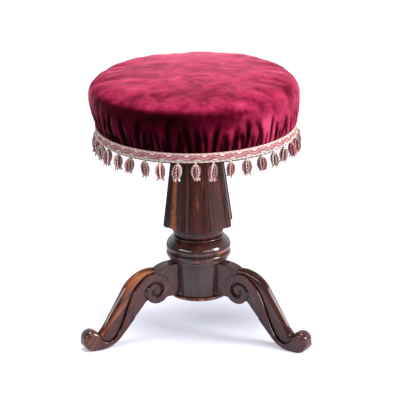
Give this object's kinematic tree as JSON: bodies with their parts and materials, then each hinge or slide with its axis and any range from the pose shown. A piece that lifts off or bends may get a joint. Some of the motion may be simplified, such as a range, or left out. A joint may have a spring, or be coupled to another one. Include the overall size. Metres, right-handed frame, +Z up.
{
  "type": "revolving piano stool",
  "caption": "Round velvet-covered seat with braid and tassels on a screw spindle, faceted turned column and scrolled tripod base.",
  "frame": {"origin": "the point of the floor under the column's axis, with the seat screwed fully down", "axes": "+Z up along the column's axis; the front of the stool, between the two leading legs, faces -Y; +X is to the right seen from the front"},
  "size_m": [0.3884, 0.3914, 0.448],
  "materials": {
    "rosewood": "french polished, high gloss",
    "rosewood_turned": "french polished, high gloss",
    "seat_pine": "bare sawn softwood",
    "dark_iron": "black oxide, satin",
    "spindle_steel": "bright wrought iron, oiled",
    "screw_steel": "satin",
    "screw_brass": "dull brass",
    "tack_iron": "blued",
    "horsehair": "curled hair, matted",
    "cotton_wadding": "soft cotton",
    "crimson_velvet": "short-pile velvet",
    "woven_gimp": "interlaced silk gimp",
    "pink_cord": "twisted silk cord",
    "cream_cord": "twisted silk cord",
    "tassel_silk": "floss silk"
  },
  "bodies": {
    "base": {"leg_left": "rosewood", "leg_right": "rosewood", "leg_rear": "rosewood", "pedestal_drum": "rosewood_turned", "base_disc": "rosewood_turned", "base_disc_screws": "screw_brass", "column_collar": "rosewood_turned", "column_shaft": "rosewood", "spindle_nut": "dark_iron", "nut_screws": "screw_steel"},
    "lift": {"stop_washer": "spindle_steel"},
    "seat": {"stop_screw": "screw_steel", "screw_spindle": "spindle_steel", "seat_flange": "dark_iron", "flange_screws": "screw_steel", "seat_board": "seat_pine", "hair_stuffing": "horsehair", "wadding": "cotton_wadding", "velvet_cover": "crimson_velvet", "cover_tacks": "tack_iron", "gimp_braid": "woven_gimp", "braid_cord_upper": "pink_cord", "braid_cord_lower": "cream_cord", "tassel_hangers": "cream_cord", "tassels": "tassel_silk"}
  },
  "joints": [
    {"name": "seat_rise", "type": "slide", "parent": "base", "child": "lift", "axis": [0, 0, 1], "range_m": [0, 0.1101]},
    {"name": "seat_turn", "type": "hinge", "parent": "lift", "child": "seat", "pos_m": [0, 0, 0.34], "axis": [0, 0, 1], "range_deg": [0, 6600]}
  ],
  "couplings": [
    {"joint": "seat_rise", "follows": "seat_turn", "m_per_rad": 0.00095492}
  ]
}
